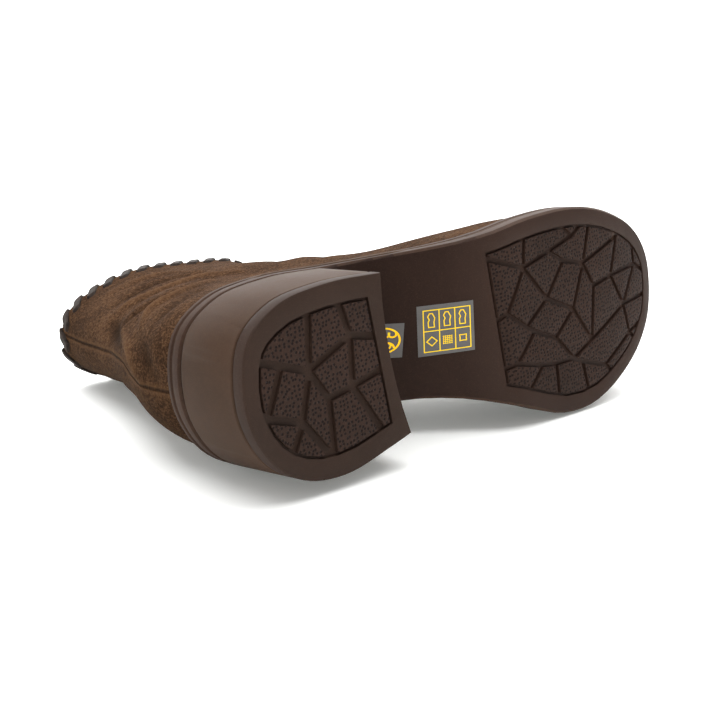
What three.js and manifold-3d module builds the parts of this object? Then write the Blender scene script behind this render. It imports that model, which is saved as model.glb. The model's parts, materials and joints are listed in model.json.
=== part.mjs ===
import * as THREE from 'three';
import { mergeVertices } from 'three/addons/utils/BufferGeometryUtils.js';
import { ConvexHull } from 'three/addons/math/ConvexHull.js';
import Module from 'manifold-3d';

// A right ankle boot with a block heel, a soft suede shaft and a laced rim, lying on its inner side.
// The boot is worked out standing: X runs from heel to toe, Y to the inner side, Z up from the ground.
// All lengths are millimetres.

// Driving sizes
const SOLE_LENGTH = 246;
const BALL_WIDTH = 93;
const HEEL_LENGTH = 73;
const SEAT_HEIGHT = 37;
const RAND_HEIGHT = 8.4;
const BALL_THICKNESS = 12;
const TOE_SPRING = 7;
const COLLAR_HEIGHT = 188;
const SHAFT_WIDTH = 50;
const WALL = 2.2;
const CLEARANCE = 0.35;
const UPPER_SETBACK = 2.8;
const UPPER_GAP = 0.6;
const INSOLE_THICKNESS = 2.5;
const INSOLE_GAP = 1.3;
const TOP_PIECE_THICKNESS = 6;
const HEEL_TAPER = 2.6;
const BREAST_HOLLOW = 3;
const TREAD_BORDER = 7.5;
const TREAD_DEPTH = 1.5;
const FORE_GROOVE = 2.1;
const HEEL_GROOVE = 3.1;
const EDGE_GROOVE = 1.2;
const LACE_WIDTH = 4;
const LACE_THICKNESS = 1.3;
const LACE_DEPTH = 6;
const LACE_GAP = 0.85;
const LACE_SIDE_GAP = 0.5;
const SEAM_RISE = 0.8;
const EDGE_ROUND = 1;
const EDGE_STEP = 0.6;
const RIM_ZONE = 60;
const CUT_REACH = 5;

// Densities in grams per cubic millimetre, used to find how the boot comes to rest
const RUBBER_DENSITY = 0.00105;
const LEATHER_DENSITY = 0.0008;

// Fineness of the faceted surfaces
const SOLE_STATIONS = 56;
const TREAD_STATIONS = 28;
const CURVE_SAMPLES = 400;
const HALF_SAMPLES = 120;
const BREAST_POINTS = 6;
const LOWER_RINGS = 15;
const UPPER_RINGS = 5;

// Outline of the sole: along is a share of its length, across a share of the ball width
const SOLE_OUTLINE = [
  { along: 0.0, across: -0.02 },
  { along: 0.028, across: -0.28 },
  { along: 0.093, across: -0.38 },
  { along: 0.19, across: -0.393 },
  { along: 0.33, across: -0.342 },
  { along: 0.48, across: -0.325 },
  { along: 0.64, across: -0.336 },
  { along: 0.776, across: -0.297 },
  { along: 0.88, across: -0.197 },
  { along: 0.965, across: -0.045 },
  { along: 1.0, across: 0.135 },
  { along: 0.98, across: 0.375 },
  { along: 0.925, across: 0.515 },
  { along: 0.845, across: 0.612 },
  { along: 0.75, across: 0.665 },
  { along: 0.66, across: 0.628 },
  { along: 0.56, across: 0.495 },
  { along: 0.46, across: 0.375 },
  { along: 0.37, across: 0.333 },
  { along: 0.26, across: 0.366 },
  { along: 0.16, across: 0.386 },
  { along: 0.08, across: 0.33 },
  { along: 0.025, across: 0.2 },
];

// Centre line over the toe, vamp and shaft front: up is a share of the height over the seat or ball
const FRONT_LINE = [
  { along: 0.986, up: 0.0 },
  { along: 0.985, up: 0.06 },
  { along: 0.972, up: 0.125 },
  { along: 0.935, up: 0.185 },
  { along: 0.875, up: 0.235 },
  { along: 0.795, up: 0.275 },
  { along: 0.715, up: 0.315 },
  { along: 0.645, up: 0.37 },
  { along: 0.585, up: 0.45 },
  { along: 0.545, up: 0.545 },
  { along: 0.525, up: 0.65 },
  { along: 0.53, up: 0.76 },
  { along: 0.548, up: 0.88 },
  { along: 0.57, up: 1.0 },
];

// Centre-back line from the heel seat to the rim
const BACK_LINE = [
  { along: 0.012, up: 0.0 },
  { along: 0.006, up: 0.09 },
  { along: 0.012, up: 0.19 },
  { along: 0.034, up: 0.31 },
  { along: 0.059, up: 0.44 },
  { along: 0.08, up: 0.57 },
  { along: 0.096, up: 0.73 },
  { along: 0.108, up: 0.88 },
  { along: 0.115, up: 1.0 },
];

// Half widths of the slack shaft as shares of its width, on the outer side and the side it lies on
const SHAFT_SIDES = [
  { up: 0.3, outer: 0.56, inner: 0.4 },
  { up: 0.55, outer: 0.53, inner: 0.42 },
  { up: 0.8, outer: 0.53, inner: 0.47 },
  { up: 1.0, outer: 0.545, inner: 0.47 },
];

// Shares along the foot, up the shaft and round a ring between which the upper changes its section
const FOOT_MIDDLE = 0.42;
const SHAFT_BLEND = { from: 0.38, to: 0.66 };
const RIDGE_SHIFT = { from: 0.5, to: 0.95, across: 0.13 };
const RIDGE_TOP = 0.75;
const RIDGE_STEEPNESS = 5;
const COUNTER_CLIMB = { from: 0, to: 0.36 };
const COUNTER_REACH = { from: 0.62, to: 0.42 };
const COUNTER_TAPER = { outer: 0.12, inner: 0.5 };
const RIM_NARROWING = { from: 0.35, to: 0.8, outer: 0.19, inner: 0 };
const RIM_CLIMB = { from: 0.55, to: 0.95 };

// Powers of the curves of the upper's sections
const SAG_POWER = 1.6;
const SECTION_POWER = 2.5;
const SHAFT_CURVE = { outer: { back: 0.6, front: 0.55 }, inner: { back: 0.95, front: 0.7 } };

// Side levels of the sole's edge: up is a share of its thickness, in the setback in edge rounds or steps
const SOLE_EDGE = [
  { up: 0.0, inward: EDGE_ROUND },
  { up: 0.1, inward: 0 },
  { up: 0.5, inward: 0 },
  { up: 0.56, inward: EDGE_STEP },
  { up: 0.68, inward: EDGE_STEP },
  { up: 0.74, inward: 0 },
  { up: 0.92, inward: 0 },
  { up: 1.0, inward: EDGE_ROUND },
];

// Grooves between the raised tiles of the tread: corners as shares of its length and width
const FORE_TREAD = { back: 0.537, front: 0.975, outer: -0.27, inner: 0.593, groove: FORE_GROOVE };
const FORE_NODES = {
  a: [-0.03, 0.04], b: [0.17, 0.17], c: [0.21, -0.03], d: [0.33, 0.14], e: [0.62, 0.03],
  f: [0.48, 0.11], g: [0.38, -0.03], h: [0.53, 0.28], i: [0.79, 0.22], j: [0.82, 0.1],
  k: [0.71, 0.42], l: [0.58, 0.43], m: [0.91, 0.43], n: [0.92, 0.25], o: [1.05, 0.55],
  p: [0.78, 0.62], q: [1.05, 0.64], r: [0.8, 0.8], s: [1.02, 0.75], t: [0.92, 0.97],
  u: [0.39, 0.77], v: [0.52, 0.72], w: [0.43, 0.5], x: [0.28, 0.38], y: [0.41, 0.22],
  z: [0.14, 0.48], aa: [0.3, 0.61], ab: [0.05, 0.37], ac: [-0.03, 0.41], ad: [0.18, 0.52],
  ae: [0.06, 0.65], af: [-0.03, 0.66], ag: [0.59, 0.9], ah: [0.68, 1.04], ai: [0.2, 0.72],
  aj: [0.04, 0.88], ak: [0.28, 0.75], al: [0.26, 1.05], am: [0.44, 0.81], an: [0.46, 1.05],
};
const FORE_RUNS = [
  'a b', 'c b d f e', 'g f', 'd y h', 'e h i j', 'i k m n', 'h l k p m o', 'p q', 'p r s', 'r t',
  'p v u', 'l v', 'h w v', 'x w', 'y x', 'b x z', 'b ab z ad aa w', 'ab ac', 'aa u', 'ad ae',
  'af ae ai ak u am ag ah', 'ai aj', 'ak al', 'am an', 'ag r',
];
const HEEL_TREAD = { back: 0.036, front: 0.264, outer: -0.315, inner: 0.31, groove: HEEL_GROOVE };
const HEEL_NODES = {
  a: [-0.02, 0.16], b: [0.21, 0.27], c: [0.41, 0.37], d: [0.51, -0.03], e: [0.74, -0.03],
  f: [0.79, 0.26], g: [1.05, 0.35], h: [0.73, 0.58], i: [1.05, 0.55], j: [0.52, 0.59],
  k: [0.94, 1.02], l: [0.46, 1.04], m: [0.28, 0.66], n: [-0.06, 0.51], o: [0.1, 0.9],
  p: [0.44, 0.93], q: [0.04, 0.53],
};
const HEEL_RUNS = ['a b c f e', 'd c m n', 'f g', 'f h i', 'h j c', 'j l', 'h k', 'm o', 'm p', 'b q'];

const SUEDE = new THREE.MeshStandardMaterial({ color: 0x6b4f39, roughness: 0.95, metalness: 0 });
const RUBBER = new THREE.MeshStandardMaterial({ color: 0x3c2f2b, roughness: 0.6, metalness: 0 });
const HEEL_RUBBER = new THREE.MeshStandardMaterial({ color: 0x5a4a43, roughness: 0.45, metalness: 0 });
const LACE_LEATHER = new THREE.MeshStandardMaterial({ color: 0x4a3f38, roughness: 0.6, metalness: 0 });
const BOARD = new THREE.MeshStandardMaterial({ color: 0x9a8468, roughness: 0.9, metalness: 0 });

const wasm = await Module();
wasm.setup();

// Small helpers
const lerp = (a, b, t) => a + (b - a) * t;

function smoothstep(low, high, value) {
  const t = Math.min(Math.max((value - low) / (high - low), 0), 1);
  return t * t * (3 - 2 * t);
}

function lookup(points, key, value, other) {
  let i = 1;
  while (i < points.length - 1 && points[i][key] < value) i += 1;
  const a = points[i - 1];
  const b = points[i];
  const span = b[key] - a[key];
  const t = span === 0 ? 0 : Math.min(Math.max((value - a[key]) / span, 0), 1);
  return lerp(a[other], b[other], t);
}

const blend = (zone, value) => smoothstep(zone.from, zone.to, value);

function solidGeometry(vertices, triangles) {
  const numbers = vertices.flatMap((p) => [p.x, p.y, p.z]);
  const geometry = new THREE.BufferGeometry();
  geometry.setAttribute('position', new THREE.Float32BufferAttribute(numbers, 3));
  geometry.setIndex(triangles.flat());
  return geometry;
}

function massOf(geometry) {
  const position = geometry.attributes.position;
  const index = geometry.index;
  const [a, b, c] = [new THREE.Vector3(), new THREE.Vector3(), new THREE.Vector3()];
  const moment = new THREE.Vector3();
  let volume = 0;
  for (let i = 0; i < index.count; i += 3) {
    a.fromBufferAttribute(position, index.getX(i));
    b.fromBufferAttribute(position, index.getX(i + 1));
    c.fromBufferAttribute(position, index.getX(i + 2));
    const part = a.dot(new THREE.Vector3().crossVectors(b, c)) / 6;
    volume += part;
    moment.addScaledVector(a, part / 4).addScaledVector(b, part / 4).addScaledVector(c, part / 4);
  }
  return { volume, centre: moment.divideScalar(volume) };
}

function toManifold(geometry) {
  const bare = geometry.clone();
  bare.deleteAttribute('normal');
  bare.deleteAttribute('uv');
  const merged = mergeVertices(bare);
  return new wasm.Manifold(new wasm.Mesh({
    numProp: 3,
    vertProperties: new Float32Array(merged.attributes.position.array),
    triVerts: new Uint32Array(merged.index.array),
  }));
}

function fromManifold(solid) {
  const mesh = solid.getMesh();
  const geometry = new THREE.BufferGeometry();
  geometry.setAttribute('position', new THREE.BufferAttribute(new Float32Array(mesh.vertProperties), 3));
  geometry.setIndex(new THREE.BufferAttribute(new Uint32Array(mesh.triVerts), 1));
  return geometry;
}

// Outline of the sole, split at the heel back and the toe tip into an outer and an inner edge
const outlineCurve = new THREE.CatmullRomCurve3(
  SOLE_OUTLINE.map((row) => new THREE.Vector3(row.along * SOLE_LENGTH, row.across * BALL_WIDTH, 0)),
  true,
  'centripetal',
);
const outlinePoints = outlineCurve.getSpacedPoints(CURVE_SAMPLES).slice(0, CURVE_SAMPLES);
const backIndex = outlinePoints.reduce((best, p, i) => (p.x < outlinePoints[best].x ? i : best), 0);
const fromBack = [...outlinePoints.slice(backIndex), ...outlinePoints.slice(0, backIndex)];
const toeIndex = fromBack.reduce((best, p, i) => (p.x > fromBack[best].x ? i : best), 0);
const outerEdge = fromBack.slice(0, toeIndex + 1);
const innerEdge = [...fromBack.slice(toeIndex), fromBack[0]].reverse();
const soleBack = fromBack[0].x;
const soleFront = fromBack[toeIndex].x;
const edgeAt = (edge, x) => lookup(edge, 'x', x, 'y');

// The outline as a closed ring, paired left and right, and set in from the edge
function outlineRing(inward, count, from, to) {
  const ring = [];
  const station = (i) => from + (to - from) * (1 - Math.cos((Math.PI * i) / count)) / 2;
  const add = (edge, i) => ring.push(new THREE.Vector3(station(i), edgeAt(edge, station(i)), 0));
  for (let i = 0; i <= count; i += 1) add(outerEdge, i);
  for (let i = count - 1; i > 0; i -= 1) add(innerEdge, i);
  return insetRing(ring, inward);
}

function insetRing(ring, inward) {
  return ring.map((point, i) => {
    const before = ring[(i + ring.length - 1) % ring.length];
    const after = ring[(i + 1) % ring.length];
    const along = new THREE.Vector3().subVectors(after, before).setZ(0).normalize();
    return new THREE.Vector3(point.x - along.y * inward, point.y + along.x * inward, point.z);
  });
}

// The whole sole's outline, set in from the edge and laid at a height that depends on x
function wholeRing(inward, height) {
  return outlineRing(inward, SOLE_STATIONS, soleBack, soleFront).map((p) => p.setZ(height(p.x)));
}

// Underside and top of the sole unit over its length: arch, flat tread and toe spring
const ARCH_BACK = HEEL_LENGTH / SOLE_LENGTH + 0.01;
const ARCH_FRONT = 0.58;
const SPRING_START = 0.75;

function undersideHeight(x) {
  const along = x / SOLE_LENGTH;
  const spring = Math.max((along - SPRING_START) / (1 - SPRING_START), 0);
  return SEAT_HEIGHT * (1 - smoothstep(ARCH_BACK, ARCH_FRONT, along)) + TOE_SPRING * spring ** 2;
}

function topHeight(x) {
  const arch = smoothstep(ARCH_BACK, ARCH_FRONT, x / SOLE_LENGTH);
  return undersideHeight(x) + lerp(RAND_HEIGHT, BALL_THICKNESS, arch);
}

// A solid from stacked closed rings whose two ends are closed by rungs between paired points
function stackedSolid(rings) {
  const count = rings[0].length;
  const triangles = [];
  const quad = (a, b, c, d) => triangles.push([a, b, c], [a, c, d]);
  for (let k = 0; k < rings.length - 1; k += 1) {
    for (let i = 0; i < count; i += 1) {
      const next = (i + 1) % count;
      quad(k * count + i, k * count + next, (k + 1) * count + next, (k + 1) * count + i);
    }
  }
  const top = (rings.length - 1) * count;
  const half = count / 2;
  for (let i = 0; i < half; i += 1) {
    const [a, b, c, d] = [i, (count - i) % count, (count - i - 1) % count, i + 1];
    if (i === 0) triangles.push([a, c, d], [top + a, top + d, top + c]);
    else if (i === half - 1) triangles.push([a, b, d], [top + a, top + d, top + b]);
    else {
      quad(a, b, c, d);
      quad(top + a, top + d, top + c, top + b);
    }
  }
  return solidGeometry(rings.flat(), triangles);
}

// Sole unit and the grooves of its tread
function soleUnit() {
  const rings = SOLE_EDGE.map((level) =>
    wholeRing(level.inward, (x) => lerp(undersideHeight(x), topHeight(x), level.up)));
  const grooves = treadGrooves(TREAD_BORDER, FORE_TREAD, FORE_NODES, FORE_RUNS);
  const slab = [-CUT_REACH, TREAD_DEPTH].map((lift) => wholeRing(0, (x) => undersideHeight(x) + lift));
  const cutter = grooves.intersect(toManifold(stackedSolid(slab)));
  return fromManifold(toManifold(stackedSolid(rings)).subtract(cutter));
}

function prism(ring, low, high) {
  const shape = new THREE.Shape(ring.map((p) => new THREE.Vector2(p.x, p.y)));
  const geometry = new THREE.ExtrudeGeometry(shape, { depth: high - low, bevelEnabled: false });
  return toManifold(geometry.translate(0, 0, low));
}

// A tread's field inside its border, made smaller all round by an inset
function treadField(border, tread, inset) {
  const back = tread.back * SOLE_LENGTH + inset;
  const length = tread.front * SOLE_LENGTH - inset - back;
  const window = new THREE.BoxGeometry(length, BALL_WIDTH * 2, SEAT_HEIGHT * 2);
  window.translate(back + length / 2, 0, 0);
  const ring = outlineRing(border + inset, TREAD_STATIONS, soleBack, soleFront);
  return prism(ring, -SEAT_HEIGHT, SEAT_HEIGHT).intersect(toManifold(window));
}

// The grooves leave a tread's tiles raised: one groove round its field, and one along each run of corners
function treadGrooves(border, tread, nodes, runs) {
  const field = treadField(border, tread, 0);
  const across = (share) => lerp(tread.outer, tread.inner, share) * BALL_WIDTH;
  const along = (share) => lerp(tread.back, tread.front, share) * SOLE_LENGTH;
  let grooves = field.subtract(treadField(border, tread, EDGE_GROOVE));
  for (const path of runs) {
    const corners = path.split(' ').map((name) => nodes[name]);
    const places = corners.map((corner) => new THREE.Vector2(along(corner[0]), across(corner[1])));
    for (let i = 1; i < places.length; i += 1) {
      const [from, to] = [places[i - 1], places[i]];
      const run = new THREE.Vector2().subVectors(to, from);
      const bar = new THREE.BoxGeometry(run.length() + tread.groove / 2, tread.groove, SEAT_HEIGHT * 2);
      bar.rotateZ(Math.atan2(run.y, run.x));
      bar.translate((from.x + to.x) / 2, (from.y + to.y) / 2, 0);
      grooves = grooves.add(toManifold(bar).intersect(field));
    }
  }
  return grooves;
}

// Heel: back part of the sole outline closed by a hollowed breast, narrower towards the ground
const HEEL_SIDE_TAPER = 0.25;
const TOP_ROUND = 1.5 * EDGE_ROUND;
const heelSetback = (z) => HEEL_TAPER * (1 - z / SEAT_HEIGHT);

function heelRing(inward, z) {
  const count = SOLE_STATIONS / 2;
  const ring = [];
  const station = (i) => soleBack + (HEEL_LENGTH - soleBack) * (1 - Math.cos((Math.PI * i) / count / 2));
  const add = (edge, i) => ring.push(new THREE.Vector3(station(i), edgeAt(edge, station(i)), z));
  for (let i = count; i > 0; i -= 1) add(innerEdge, i);
  for (let i = 0; i <= count; i += 1) add(outerEdge, i);
  const [outer, inner] = [ring[ring.length - 1], ring[0]];
  for (let i = 1; i < BREAST_POINTS; i += 1) {
    const t = i / BREAST_POINTS;
    const hollow = BREAST_HOLLOW * (1 - (2 * t - 1) ** 2);
    ring.push(new THREE.Vector3(lerp(outer.x, inner.x, t) - hollow, lerp(outer.y, inner.y, t), z));
  }
  const centre = (soleBack + HEEL_LENGTH) / 2;
  const half = centre - soleBack;
  const halfWidth = (outer.y - inner.y) / -2;
  return ring.map((p) => new THREE.Vector3(
    centre + (p.x - centre) * (1 - (p.x < centre ? inward / half : 0)),
    p.y * (1 - (inward * HEEL_SIDE_TAPER) / halfWidth),
    p.z,
  ));
}

// Heel solid from levels that each hold a height and how far the edge is rounded back there
function heelSolid(levels) {
  const rings = levels.map((level) => heelRing(heelSetback(level.z) + level.inward, level.z));
  const count = rings[0].length;
  const flat = rings[0].map((p) => new THREE.Vector2(p.x, p.y));
  const caps = THREE.ShapeUtils.triangulateShape(flat, []);
  const triangles = [];
  for (let k = 0; k < rings.length - 1; k += 1) {
    for (let i = 0; i < count; i += 1) {
      const next = (i + 1) % count;
      const [a, b] = [k * count + i, k * count + next];
      triangles.push([a, b, b + count], [a, b + count, a + count]);
    }
  }
  const top = (rings.length - 1) * count;
  for (const [a, b, c] of caps) triangles.push([a, c, b], [top + a, top + b, top + c]);
  return solidGeometry(rings.flat(), triangles);
}

function heelBlock() {
  const low = TOP_PIECE_THICKNESS + CLEARANCE;
  const high = SEAT_HEIGHT - CLEARANCE;
  return heelSolid([
    { z: low, inward: EDGE_STEP },
    { z: low + EDGE_STEP, inward: 0 },
    { z: (low + high) / 2, inward: 0 },
    { z: high - TOP_ROUND, inward: 0 },
    { z: high, inward: EDGE_ROUND },
  ]);
}

function heelTopPiece() {
  const body = toManifold(heelSolid([
    { z: 0, inward: EDGE_STEP },
    { z: EDGE_STEP, inward: 0 },
    { z: TOP_PIECE_THICKNESS - EDGE_STEP, inward: 0 },
    { z: TOP_PIECE_THICKNESS, inward: EDGE_STEP },
  ]));
  const grooves = treadGrooves(HEEL_TAPER / 2 + TREAD_BORDER, HEEL_TREAD, HEEL_NODES, HEEL_RUNS);
  const slab = new THREE.BoxGeometry(SOLE_LENGTH, BALL_WIDTH, TREAD_DEPTH * 2);
  return fromManifold(body.subtract(grooves.intersect(toManifold(slab))));
}

// Centre lines of the upper, sampled evenly
const seatTop = topHeight(soleBack) + UPPER_GAP;
const toeTop = topHeight(soleFront) + UPPER_GAP;

function centreLine(rows, base) {
  const points = rows.map((row) =>
    new THREE.Vector3(row.along * SOLE_LENGTH, 0, lerp(base, COLLAR_HEIGHT, row.up)));
  return new THREE.CatmullRomCurve3(points, false, 'centripetal').getSpacedPoints(CURVE_SAMPLES);
}

const frontLine = centreLine(FRONT_LINE, toeTop);
const backLine = centreLine(BACK_LINE, seatTop);
const lineLength = (line) => line.slice(1).reduce((sum, p, i) => sum + p.distanceTo(line[i]), 0);
const frontLength = lineLength(frontLine);
const backLength = lineLength(backLine);

function pointAlong(line, total, distance) {
  const place = Math.min(Math.max(distance / total, 0), 1) * (line.length - 1);
  const i = Math.min(Math.floor(place), line.length - 2);
  return new THREE.Vector3().lerpVectors(line[i], line[i + 1], place - i);
}

// Height of the vamp ridge over a point of the foot's length
const ridge = frontLine.filter((p, i) => i === 0 || p.x < frontLine[i - 1].x)
  .filter((p) => p.z < COLLAR_HEIGHT * RIDGE_TOP)
  .reverse();
const ridgeBack = ridge[0].x;
const ridgeHeight = (x) => lookup(ridge, 'x', x, 'z') + RIDGE_STEEPNESS * Math.max(ridgeBack - x, 0);
const ridgeAcross = (x) => RIDGE_SHIFT.across * BALL_WIDTH * blend(RIDGE_SHIFT, x / SOLE_LENGTH);

// One level of the upper: lower rings share out the way up the heel and over the toe,
// and rings near the rim keep the same distance from it all round
function ringEnds(level) {
  const lower = level.fromRim === undefined;
  const way = (total) => (lower ? level.share * (total - RIM_ZONE) : total - level.fromRim);
  return {
    back: pointAlong(backLine, backLength, way(backLength)),
    front: pointAlong(frontLine, frontLength, way(frontLength)),
  };
}

const ringLevels = [];
for (let i = 0; i < LOWER_RINGS; i += 1) ringLevels.push({ share: i / LOWER_RINGS });
const slotLow = LACE_DEPTH + LACE_THICKNESS + 2 * CLEARANCE;
for (let i = 0; i < UPPER_RINGS; i += 1) {
  ringLevels.push({ fromRim: lerp(RIM_ZONE, slotLow, i / (UPPER_RINGS - 1)) });
}
ringLevels.push({ fromRim: LACE_DEPTH }, { fromRim: 0 });
const slotRing = LOWER_RINGS + UPPER_RINGS - 1;

const soleChord = (x) => lerp(seatTop, toeTop, (x - soleBack) / (soleFront - soleBack));
const sag = (x) => topHeight(x) + UPPER_GAP - soleChord(x);

// One side of a ring, from centre back to centre front: the foot's section turns into the shaft's
function ringHalf(level, name) {
  const edge = name === 'outer' ? outerEdge : innerEdge;
  const side = name === 'outer' ? -1 : 1;
  const { back, front } = ringEnds(level);
  const sagShare = level.fromRim === undefined ? (1 - level.share) ** SAG_POWER : 0;
  const shaft = blend(SHAFT_BLEND, (front.z - toeTop) / (COLLAR_HEIGHT - toeTop));
  const climb = (back.z - seatTop) / (COLLAR_HEIGHT - seatTop);
  const halfWidth = SHAFT_WIDTH * lookup(SHAFT_SIDES, 'up', climb, name);
  const narrowing = RIM_NARROWING[name] * blend(RIM_CLIMB, climb);
  const middle = SOLE_LENGTH * FOOT_MIDDLE;
  const stretch = (middle - soleBack - UPPER_SETBACK) / (middle - back.x);
  const points = [];
  for (let i = 0; i <= HALF_SAMPLES; i += 1) {
    const angle = (Math.PI * i) / HALF_SAMPLES;
    const share = (1 - Math.cos(angle)) / 2;
    const x = lerp(back.x, front.x, share);
    const chord = lerp(back.z, front.z, share);
    const z = chord + sagShare * (sag(x) - lerp(sag(back.x), sag(front.x), share));
    const footX = x < middle ? middle - (middle - x) * stretch : x;
    const base = topHeight(x) + UPPER_GAP;
    const rise = Math.min(Math.max((z - base) / (ridgeHeight(x) - base), 0), 1);
    const up = (z - base) / (COLLAR_HEIGHT - base);
    const taper = COUNTER_TAPER[name] * blend(COUNTER_CLIMB, up) * blend(COUNTER_REACH, x / SOLE_LENGTH);
    const edgeY = (edgeAt(edge, footX) - side * UPPER_SETBACK) * (1 - taper);
    const footY = ridgeAcross(x) + (edgeY - ridgeAcross(x)) * Math.sqrt(1 - rise ** SECTION_POWER);
    const fullness = lerp(SHAFT_CURVE[name].back, SHAFT_CURVE[name].front, share);
    const width = halfWidth * (1 - narrowing * blend(RIM_NARROWING, share));
    const shaftY = side * width * Math.sin(angle) ** fullness;
    points.push(new THREE.Vector3(x, lerp(footY, shaftY, shaft), z));
  }
  points[0].y = 0;
  points[HALF_SAMPLES].y = lerp(ridgeAcross(front.x), 0, shaft);
  return points;
}

// Points at equal steps along a line of points
function evenly(points, count) {
  const run = [0];
  for (let i = 1; i < points.length; i += 1) run.push(run[i - 1] + points[i].distanceTo(points[i - 1]));
  const total = run[run.length - 1];
  const result = [];
  let j = 1;
  for (let i = 0; i <= count; i += 1) {
    const target = (total * i) / count;
    while (j < run.length - 1 && run[j] < target) j += 1;
    const t = (target - run[j - 1]) / (run[j] - run[j - 1]);
    result.push(new THREE.Vector3().lerpVectors(points[j - 1], points[j], Math.min(Math.max(t, 0), 1)));
  }
  return result;
}

// Stitches round the rim set how many columns the upper has: a slot and a bridge for each stitch
const rimLevel = ringLevels[ringLevels.length - 1];
const rimHalf = lineLength(ringHalf(rimLevel, 'outer'));
const stitchesPerHalf = Math.round(rimHalf / (2 * (LACE_WIDTH + 2 * LACE_SIDE_GAP)));
const columnsPerHalf = stitchesPerHalf * 2;
const columns = columnsPerHalf * 2;

function upperRing(level) {
  const outer = evenly(ringHalf(level, 'outer'), columnsPerHalf);
  const inner = evenly(ringHalf(level, 'inner'), columnsPerHalf);
  return [...outer.slice(0, columnsPerHalf), ...inner.slice(1).reverse()];
}

const outside = ringLevels.map(upperRing);
outside.forEach((ring) => { ring[0].x -= SEAM_RISE; });

// The lining side lies one wall thickness in from the outside, square to the surface
function liningOf(rings) {
  return rings.map((ring, k) => ring.map((point, i) => {
    const before = ring[(i + columns - 1) % columns];
    const after = ring[(i + 1) % columns];
    const below = rings[Math.max(k - 1, 0)][i];
    const above = rings[Math.min(k + 1, rings.length - 1)][i];
    const round = new THREE.Vector3().subVectors(after, before);
    const up = new THREE.Vector3().subVectors(above, below);
    const normal = new THREE.Vector3().crossVectors(round, up).normalize();
    if (k === 0) normal.setZ(0).normalize();
    return point.clone().addScaledVector(normal, -WALL);
  }));
}

const lining = liningOf(outside);

function upperShell() {
  const rows = outside.length;
  const vertices = [...outside.flat(), ...lining.flat()];
  const out = (k, i) => k * columns + (i % columns);
  const inn = (k, i) => rows * columns + out(k, i);
  const triangles = [];
  const quad = (a, b, c, d) => triangles.push([a, b, c], [a, c, d]);
  for (let k = 0; k < rows - 1; k += 1) {
    for (let i = 0; i < columns; i += 1) {
      if (k === slotRing && i % 2 === 0) {
        const corners = [[k, i], [k, i + 1], [k + 1, i + 1], [k + 1, i]];
        corners.forEach((from, c) => {
          const to = corners[(c + 1) % corners.length];
          quad(out(...from), out(...to), inn(...to), inn(...from));
        });
      } else {
        quad(out(k, i), out(k, i + 1), out(k + 1, i + 1), out(k + 1, i));
        quad(inn(k + 1, i), inn(k + 1, i + 1), inn(k, i + 1), inn(k, i));
      }
    }
  }
  for (let i = 0; i < columns; i += 1) {
    quad(out(rows - 1, i), out(rows - 1, i + 1), inn(rows - 1, i + 1), inn(rows - 1, i));
    quad(inn(0, i), inn(0, i + 1), out(0, i + 1), out(0, i));
  }
  return solidGeometry(vertices, triangles);
}

// The lace runs out through a slot, leans as it climbs to the rim, and drops inside to the next slot
const LACE_TURN = [
  { outward: -1, depth: 1, lean: 0 },
  { outward: 1, depth: 1, lean: 0 },
  { outward: 1, depth: 0.5, lean: 0.32 },
  { outward: 1, depth: 0, lean: 0.62 },
  { outward: -1, depth: 0, lean: 0.72 },
  { outward: -1, depth: 0.5, lean: 0.86 },
];

function collarLace() {
  const last = outside.length - 1;
  const onRing = (ring, place) => {
    const wrapped = (place + columns) % columns;
    const i = Math.floor(wrapped);
    return new THREE.Vector3().lerpVectors(ring[i % columns], ring[(i + 1) % columns], wrapped - i);
  };
  const wallPoint = (place, outward, depth) => {
    const out = onRing(outside[last], place);
    const inn = onRing(lining[last], place);
    const low = onRing(outside[slotRing + 1], place);
    const lowIn = onRing(lining[slotRing + 1], place);
    const middle = new THREE.Vector3().lerpVectors(out, inn, 0.5);
    const lowMiddle = new THREE.Vector3().lerpVectors(low, lowIn, 0.5);
    const down = new THREE.Vector3().subVectors(lowMiddle, middle).normalize();
    const across = new THREE.Vector3().subVectors(out, inn).normalize();
    return middle.addScaledVector(down, depth).addScaledVector(across, outward);
  };
  const sections = [];
  for (let stitch = 0; stitch < columns / 2; stitch += 1) {
    for (const step of LACE_TURN) {
      const place = 2 * stitch + 0.5 + 2 * step.lean;
      const spacing = onRing(outside[last], place + 0.5).distanceTo(onRing(outside[last], place - 0.5));
      const half = 0.5 - LACE_SIDE_GAP / spacing;
      for (const layer of [0, 1]) {
        const reach = WALL / 2 + LACE_GAP + layer * LACE_THICKNESS;
        const bottom = LACE_DEPTH + CLEARANCE + layer * LACE_THICKNESS;
        const top = -LACE_GAP - layer * LACE_THICKNESS;
        const depth = lerp(top, bottom, step.depth);
        const outward = step.outward * reach;
        const pair = [-half, half].map((offset) => wallPoint(place + offset, outward, depth));
        sections.push(layer === 0 ? pair : pair.reverse());
      }
    }
  }
  const vertices = sections.flat();
  const count = vertices.length / 4;
  const triangles = [];
  for (let s = 0; s < count; s += 1) {
    for (let i = 0; i < 4; i += 1) {
      const [a, b] = [4 * s + i, 4 * s + ((i + 1) % 4)];
      const [c, d] = [4 * ((s + 1) % count) + ((i + 1) % 4), 4 * ((s + 1) % count) + i];
      triangles.push([a, b, c], [a, c, d]);
    }
  }
  const geometry = solidGeometry(vertices, triangles);
  if (massOf(geometry).volume > 0) return geometry;
  return solidGeometry(vertices, triangles.map(([a, b, c]) => [a, c, b]));
}

// Board inside the upper, following the top of the sole
function insoleBoard() {
  const inward = UPPER_SETBACK + WALL + INSOLE_GAP;
  const lifts = [CLEARANCE, CLEARANCE + INSOLE_THICKNESS];
  return stackedSolid(lifts.map((lift) => wholeRing(inward, (x) => topHeight(x) + lift)));
}

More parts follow.
